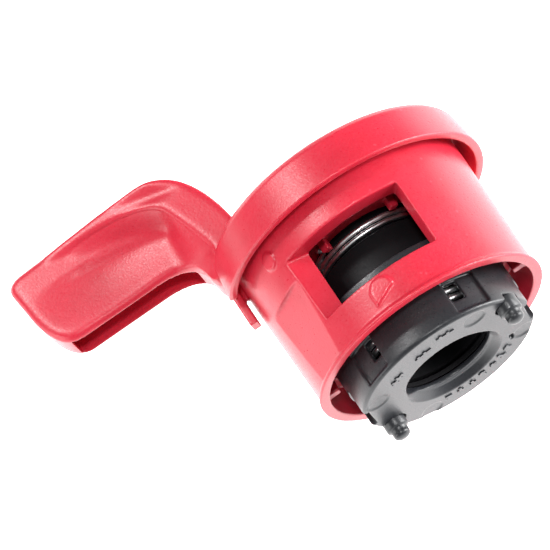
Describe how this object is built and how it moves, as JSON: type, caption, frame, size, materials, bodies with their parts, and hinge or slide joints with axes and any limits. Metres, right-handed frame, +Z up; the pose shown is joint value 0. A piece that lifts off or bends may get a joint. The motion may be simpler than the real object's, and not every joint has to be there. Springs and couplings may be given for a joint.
{
  "type": "spring-return valve handle",
  "caption": "Spring-return operating handle for a small seacock: red thumb lever and hub with a window, black spring cage and coil springs.",
  "frame": {"origin": "on the hub axis, in the plane of the end face that seats on the valve", "axes": "-Y along the hub axis out of the end face toward the valve; +Z up out of the hub window; -X out along the thumb lever"},
  "size_m": [0.08, 0.0602, 0.05],
  "materials": {
    "red_plastic": "satin moulded",
    "black_plastic": "fine moulded grain",
    "spring_steel": "bright drawn wire",
    "zinc": "zinc plated"
  },
  "bodies": {
    "valve_side": {"spring_cage": "black_plastic", "locating_post_1": "black_plastic", "locating_post_2": "black_plastic", "cage_spring": "spring_steel", "drum_spring": "spring_steel", "thrust_washer": "black_plastic"},
    "handle": {"lever_hub": "red_plastic", "spring_drum": "black_plastic", "stem_socket": "black_plastic", "hub_screw": "zinc"}
  },
  "joints": [
    {"name": "handle_turn", "type": "hinge", "parent": "valve_side", "child": "handle", "pos_m": [0, 0, 0], "axis": [0, -1, 0], "range_deg": [0, 90], "stiffness_Nm_per_rad": 0.1, "springref_deg": -85.94, "deforming": ["drum_spring"]}
  ]
}
